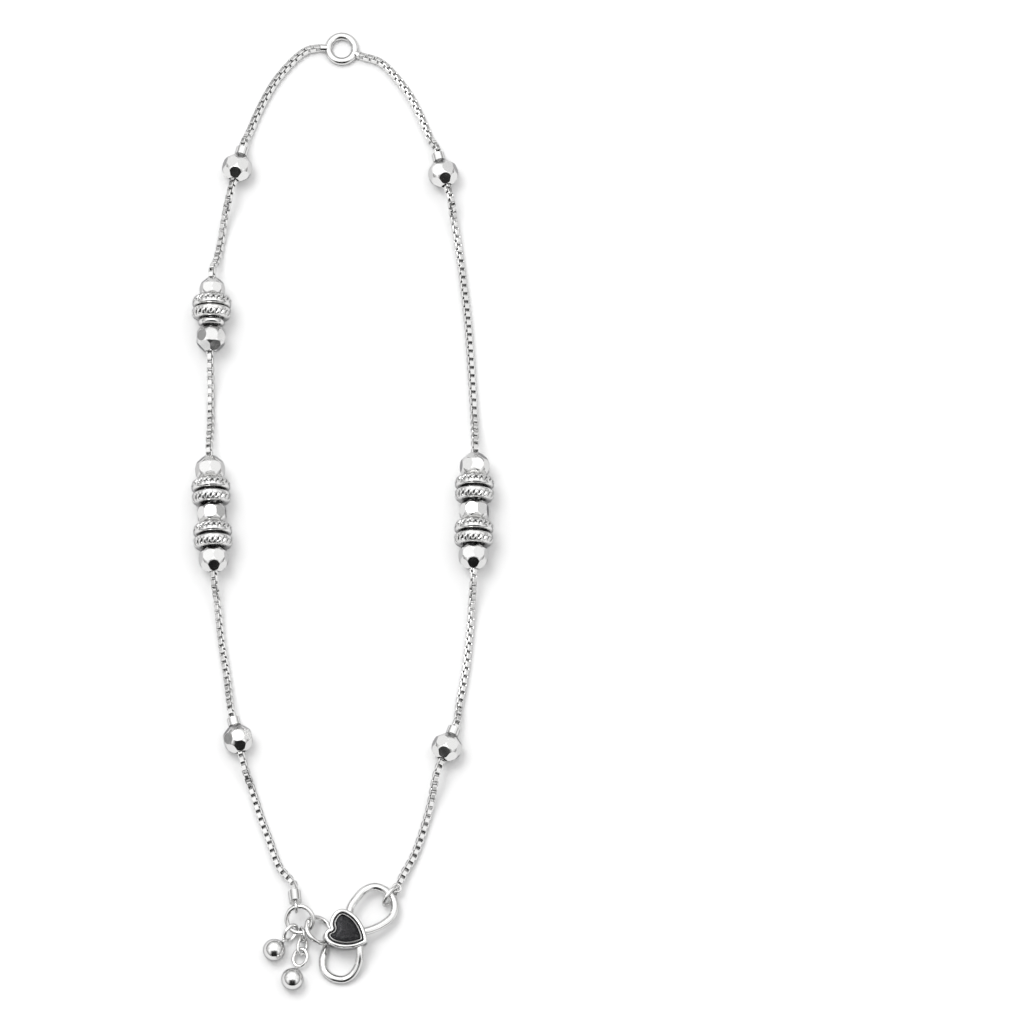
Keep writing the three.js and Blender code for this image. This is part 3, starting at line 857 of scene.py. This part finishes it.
def right_route():
    heading, end = NECK_ENDS["right"]
    start = TOP_AT + along(heading) * (end + CHAIN_START)
    start[2] = ON_TABLE
    return [
        start, vec(4.8, 62.1, ON_TABLE), vec(6.2, 60.9, ON_TABLE),
        vec(8.7, 57.6, ON_TABLE), vec(10.3, 54.4, ON_TABLE), vec(11.5, 51.5, ON_TABLE),
        *through(SINGLES["upper_right"]),
        vec(14.6, 40.5, 1.3), vec(15.4, 35.6, ON_TABLE), vec(16.5, 26.4, ON_TABLE),
        vec(17.1, 18.0, ON_TABLE), vec(17.4, 12.5, 1.0),
        *through(STACKS["right"]),
        vec(17.1, -12.9, 1.3), vec(16.8, -17.0, ON_TABLE), vec(16.2, -22.5, ON_TABLE),
        vec(15.4, -27.0, 0.8),
        *through(SINGLES["lower_right"]),
        vec(11.7, -40.5, 1.0), vec(10.9, -43.5, ON_TABLE), vec(9.5, -47.6, ON_TABLE),
        vec(8.2, -50.1, 0.9),
        END_LINK_END + CHAIN_EYE_AXIS * CHAIN_EYE_MIDDLE,
    ]


def box_link():
    """A strip bent to a rounded square, its length along local X and its height along local Z."""
    half_long = (LINK_LENGTH - STRIP_THICKNESS) / 2
    half_high = (LINK_HEIGHT - STRIP_THICKNESS) / 2
    bend, edge = STRIP_BEND, STRIP_EDGE
    rows, painted_shade = [], []
    for corner in range(4):
        sx, sz = ((1, 1), (-1, 1), (-1, -1), (1, -1))[corner]
        for angle in np.radians(np.linspace(corner * 90, corner * 90 + 90, 4)):
            out = vec(math.cos(angle), 0, math.sin(angle))
            centre = vec(sx * (half_long - bend), 0, sz * (half_high - bend)) + out * bend
            section = []
            # Painted shade on the strip's inside faces, none on its outside
            painted_shade += [0, 0, *[INSIDE_PAINTED_SHADE] * 4, 0, 0]
            for u, v in ((1, 1), (-1, 1), (-1, -1), (1, -1)):
                wide, thick = v * STRIP_WIDTH / 2, u * STRIP_THICKNESS / 2
                steps = ((wide - v * edge, thick), (wide, thick - u * edge))
                for across, depth in steps if u * v > 0 else reversed(steps):
                    section.append(centre + out * depth + vec(0, across, 0))
            rows.append(section)
    return grid(rows, wrap_rows=True), painted_shade


def chain_links(route, hand):
    """Box links along a route, each turned a quarter from the one before.

    hand is 1 or -1, the side that the links roll to. No link reaches below the table.
    """
    path = spline(route, LINK_PITCH / STEPS_PER_LINK)
    path[:, 2] = np.maximum(path[:, 2], ON_TABLE)
    path = even(path, LINK_PITCH / STEPS_PER_LINK)
    tangents = np.gradient(path, axis=0)
    link, painted_shade = box_link()
    links = []
    for number, i in enumerate(range(STEPS_PER_LINK // 2, len(path) - 2, STEPS_PER_LINK)):
        x = unit(tangents[i])
        side = unit(np.cross((0, 0, 1), x))
        matrix = np.eye(4)
        matrix[:3, :3] = np.column_stack([x, side, np.cross(x, side)])
        matrix[:3, 3] = path[i]
        sway = ROLL_SWAY * math.sin(number / LINKS_PER_RADIAN)
        roll = hand * (CHAIN_ROLL + sway) + 90 * (number % 2)
        points, faces = moved(link, matrix @ turned_about("X", roll))
        points[:, 2] += max(0, -points[:, 2].min())
        links.append((points, faces))
    return links, painted_shade * len(links)


def add_chains():
    links, painted_shade = chain_links(left_route(), 1)
    piece("chain_left_fine", links, ["chain_left"], painted_shade=painted_shade)
    eye_place = frame_at(END_LINK_END, CHAIN_EYE_AXIS)
    eye = moved(ring(CHAIN_EYE_OUTER, CHAIN_EYE_WIRE, segments=40, sides=14), eye_place)
    links, painted_shade = chain_links(right_route(), -1)
    piece("chain_right_fine", [*links, eye], ["chain_right"], painted_shade=painted_shade + [0] * len(eye[0]))


# Table, light and camera, in metres

TABLE_HALF = 2
TABLE_DROP = 0.00003
ROOM_CEILING = 1.5
ROOM_WALLS = 0.22
DOORWAY = 0.02

# Ranges of direction over which the doorway and the walls shade off, and of the noise for panels
DOOR_TOP = (-0.3, -0.5)
DOOR_SIDES = (0.7, 0.38)
WALL_RISE = (0.05, 0.72)
PANEL_NOISE = (0.42, 0.58)
PANEL_SHADES = (0.78, 1.08)

KEY_PLACE = (-0.3, 0.25, 0.9)
KEY_SIZE = 0.5
KEY_POWER = 3.0
LENS = 1500
SENSOR = 36
FRAME_WIDTH = 0.1352
CAMERA_TARGET = (0.0224, -0.0001, 0)
CAMERA_LIFT = math.radians(73)


def add_table():
    half = TABLE_HALF
    corners = [(-half, -half, 0), (half, -half, 0), (half, half, 0), (-half, half, 0)]
    mesh = bpy.data.meshes.new("table")
    mesh.from_pydata(corners, [], [(0, 1, 2, 3)])
    mesh.materials.append(white_table())
    table = bpy.data.objects.new("table", mesh)
    table.location = (0, 0, -TABLE_DROP)
    bpy.context.scene.collection.objects.link(table)


def add_world():
    """The room that the silver mirrors: white, dim along its walls, a dark doorway towards -Y."""
    world = bpy.data.worlds.new("room")
    world.use_nodes = True
    bpy.context.scene.world = world
    tree = world.node_tree
    background = tree.nodes["Background"]
    place = tree.nodes.new("ShaderNodeTexCoord")
    split = tree.nodes.new("ShaderNodeSeparateXYZ")
    tree.links.new(place.outputs["Generated"], split.inputs[0])
    aside = tree.nodes.new("ShaderNodeMath")
    aside.operation = "ABSOLUTE"
    tree.links.new(split.outputs["X"], aside.inputs[0])
    facing = spread(tree, split.outputs["Y"], DOOR_TOP, (0, 1))
    door = multiplied(tree, facing, spread(tree, aside.outputs[0], DOOR_SIDES, (0, 1)))
    walls = spread(tree, split.outputs["Z"], WALL_RISE, (ROOM_WALLS, ROOM_CEILING))
    patches = noise(tree, scale=2.3, detail=0.0, space="Generated")
    panels = spread(tree, patches, PANEL_NOISE, PANEL_SHADES)
    room = multiplied(tree, walls, panels)
    lit = multiplied(tree, room, spread(tree, door, (0, 1), (1, DOORWAY)))
    background.inputs["Color"].default_value = (1, 1, 1, 1)
    tree.links.new(lit, background.inputs["Strength"])


def add_key_light():
    data = bpy.data.lights.new("key", "AREA")
    data.shape = "DISK"
    data.size = KEY_SIZE
    data.energy = KEY_POWER
    light = bpy.data.objects.new("key", data)
    light.location = KEY_PLACE
    light.rotation_euler = (-Vector(KEY_PLACE)).to_track_quat("-Z", "Y").to_euler()
    bpy.context.scene.collection.objects.link(light)


def add_camera():
    """The photograph's view; the long lens keeps it almost without perspective."""
    data = bpy.data.cameras.new("camera")
    data.lens = LENS
    data.sensor_width = SENSOR
    distance = FRAME_WIDTH * LENS / SENSOR
    away = Vector((0, -math.cos(CAMERA_LIFT), math.sin(CAMERA_LIFT)))
    camera = bpy.data.objects.new("camera", data)
    camera.location = Vector(CAMERA_TARGET) + away * distance
    camera.rotation_euler = (PI / 2 - CAMERA_LIFT, 0, 0)
    bpy.context.scene.collection.objects.link(camera)
    bpy.context.scene.camera = camera


def build():
    add_table()
    add_world()
    add_key_light()
    add_camera()
    bpy.context.scene.view_settings.view_transform = "Standard"
    add_top_ring()
    for side, bead in SINGLES.items():
        add_single(side, bead)
    add_stack(STACKS["small"], small_stack())
    add_stack(STACKS["left"], big_stack("left"))
    add_stack(STACKS["right"], big_stack("right"))
    add_end_cap()
    add_ring("jump_ring", ring(JUMP_OUTER, RING_WIRE), JUMP)
    add_ring("catch_ring", ring(CATCH_OUTER, RING_WIRE), CATCH)
    add_drop("drop_1", DROP_1_EYE, DROP_1_BALL)
    add_drop("drop_2", DROP_2_EYE, DROP_2_BALL)
    add_ring("drop_2_link_a", ring(LINK_A_OUTER, LINK_WIRE), LINK_A)
    add_ring("drop_2_link_b", oval(LINK_B_LENGTH, LINK_B_WIDTH, LINK_WIRE), LINK_B)
    add_ring("chain_end_link", oval(END_LINK_LENGTH, END_LINK_WIDTH, END_LINK_WIRE), END_LINK)
    add_clasp()
    add_heart_face()
    add_chains()


build()
